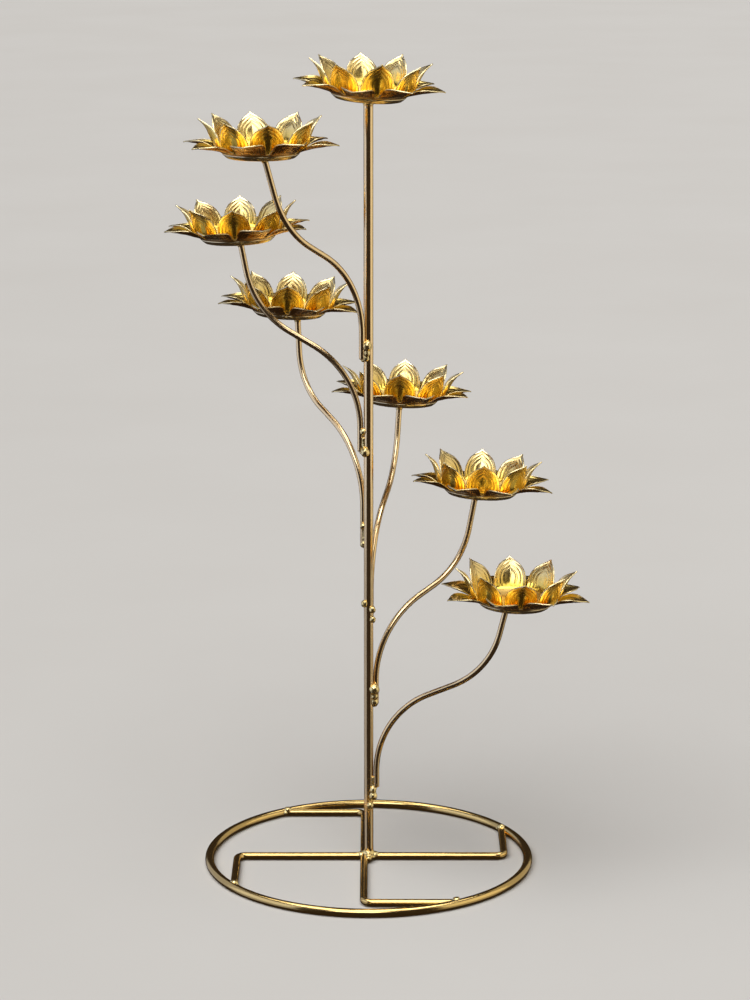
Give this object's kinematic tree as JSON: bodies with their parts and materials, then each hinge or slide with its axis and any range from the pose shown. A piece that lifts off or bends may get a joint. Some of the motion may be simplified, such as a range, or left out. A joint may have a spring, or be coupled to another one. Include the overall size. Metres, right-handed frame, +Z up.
{
  "type": "standing lotus lamp",
  "caption": "Brass standing lamp: a floor ring, an upright pole and S-bent branches in a spiral, each carrying a tiered lotus cup for a tealight or oil wick.",
  "frame": {"origin": "on the pole's axis at floor level, in the middle of the floor ring", "axes": "+Z up along the pole; -Y is the front, the side that the picture was taken from; +X is to the right when facing the front"},
  "size_m": [0.2787, 0.2447, 0.5495],
  "materials": {
    "rod_brass": "polished drawn rod with a clear gold lacquer",
    "ring_brass": "polished rod, slightly worn where it touches the floor",
    "petal_brass": "polished stamped sheet with embossed arches",
    "saucer_brass": "satin pressed sheet",
    "braze": "smooth lumpy braze, polished over"
  },
  "bodies": {
    "root": {"floor_ring": "ring_brass", "cross_rod": "rod_brass", "front_arm": "rod_brass", "back_arm": "rod_brass", "hub_weld": "braze", "ring_welds": "braze", "pole": "rod_brass", "pole_welds": "braze", "cup_welds": "braze", "branch_1": "rod_brass", "branch_2": "rod_brass", "branch_3": "rod_brass", "branch_4": "rod_brass", "branch_5": "rod_brass", "branch_6": "rod_brass", "saucer_1": "saucer_brass", "saucer_2": "saucer_brass", "saucer_3": "saucer_brass", "saucer_4": "saucer_brass", "saucer_5": "saucer_brass", "saucer_6": "saucer_brass", "saucer_top": "saucer_brass", "outer_petals_1": "petal_brass", "outer_petals_2": "petal_brass", "outer_petals_3": "petal_brass", "outer_petals_4": "petal_brass", "outer_petals_5": "petal_brass", "outer_petals_6": "petal_brass", "outer_petals_top": "petal_brass", "inner_petals_1": "petal_brass", "inner_petals_2": "petal_brass", "inner_petals_3": "petal_brass", "inner_petals_4": "petal_brass", "inner_petals_5": "petal_brass", "inner_petals_6": "petal_brass", "inner_petals_top": "petal_brass"}
  },
  "joints": []
}
